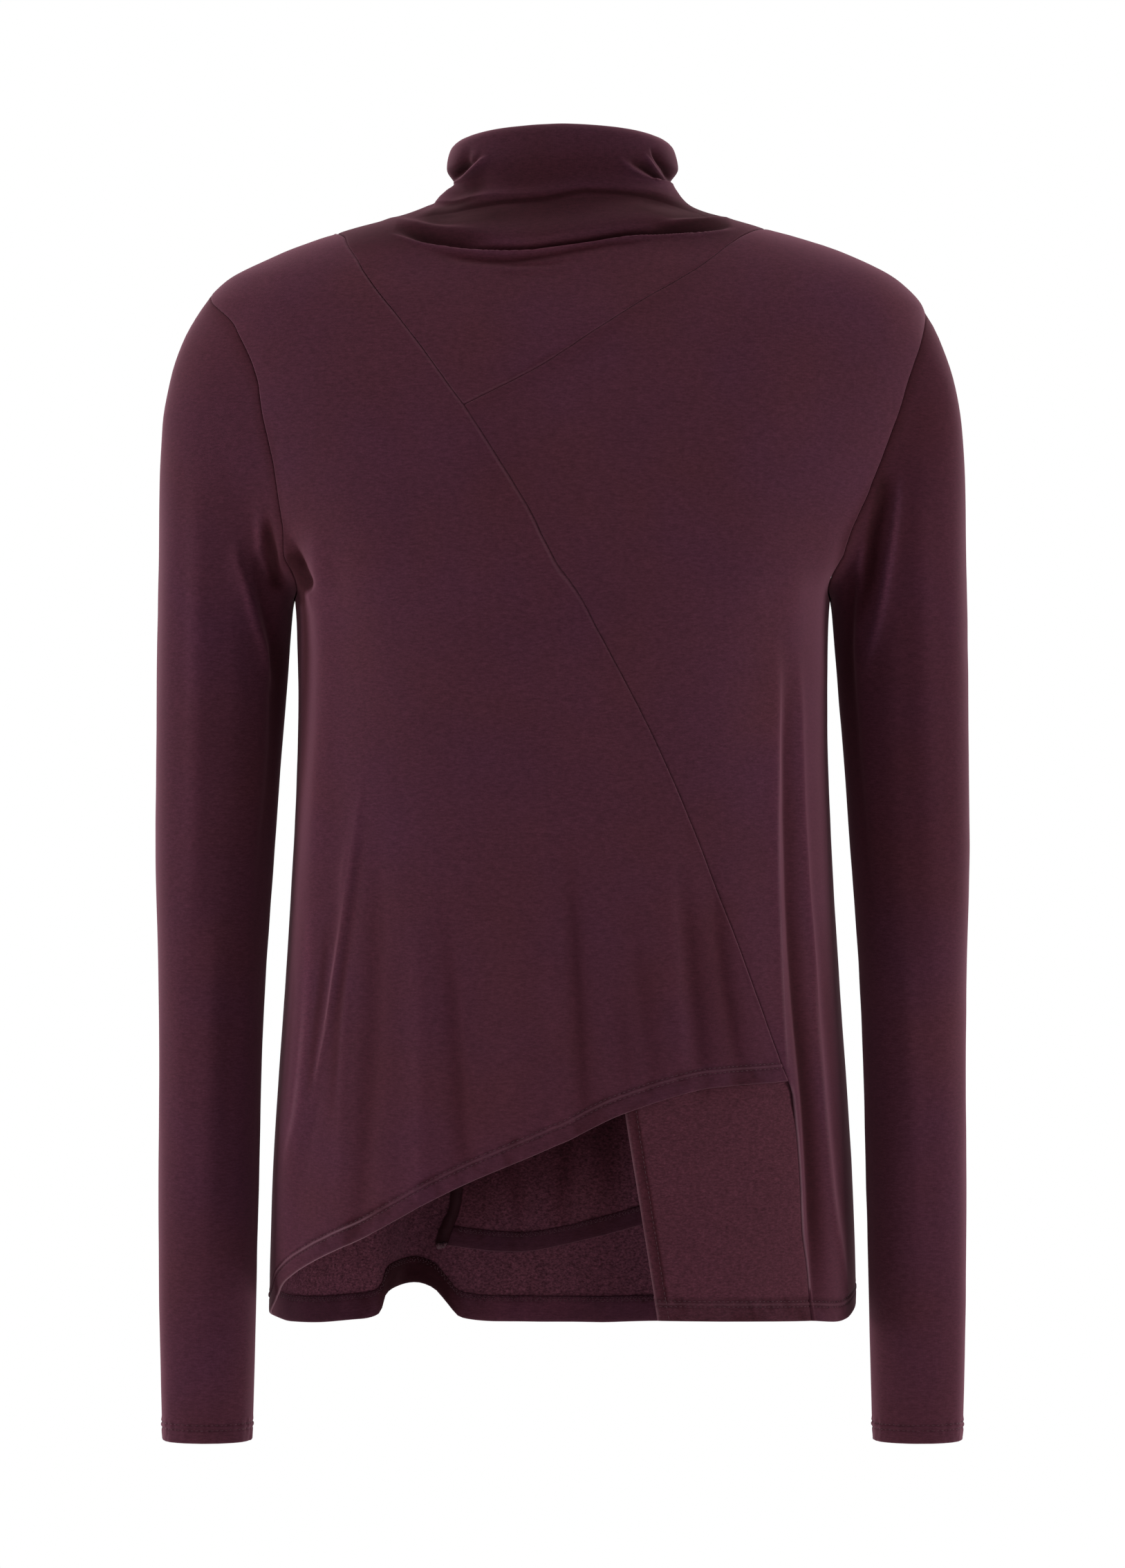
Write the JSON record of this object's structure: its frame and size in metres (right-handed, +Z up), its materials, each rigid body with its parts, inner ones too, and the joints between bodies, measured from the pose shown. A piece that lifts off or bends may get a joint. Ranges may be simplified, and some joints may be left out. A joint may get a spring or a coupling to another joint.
{
  "type": "high neck t-shirt",
  "caption": "Long-sleeved high neck jersey top with a slanting wrapped front, short slanting hem over a loose flap, and longer back.",
  "frame": {"origin": "middle of the neck base, level with the tops of the shoulders, where the wearer's shoulders carry the top", "axes": "+Z up, -Y towards the front of the top, +X towards its right side seen from the front"},
  "size_m": [0.4568, 0.2317, 0.733],
  "materials": {
    "plum_jersey": "fine matte viscose jersey, dark plum",
    "plum_jersey_inner": "fine matte viscose jersey, wrong side, dark plum"
  },
  "bodies": {
    "root": {"neck_yoke_front": "plum_jersey", "front_left": "plum_jersey", "front_right": "plum_jersey", "front_underlap": "plum_jersey", "back": "plum_jersey", "back_inner": "plum_jersey_inner", "sleeve_left": "plum_jersey", "sleeve_right": "plum_jersey"}
  },
  "joints": []
}
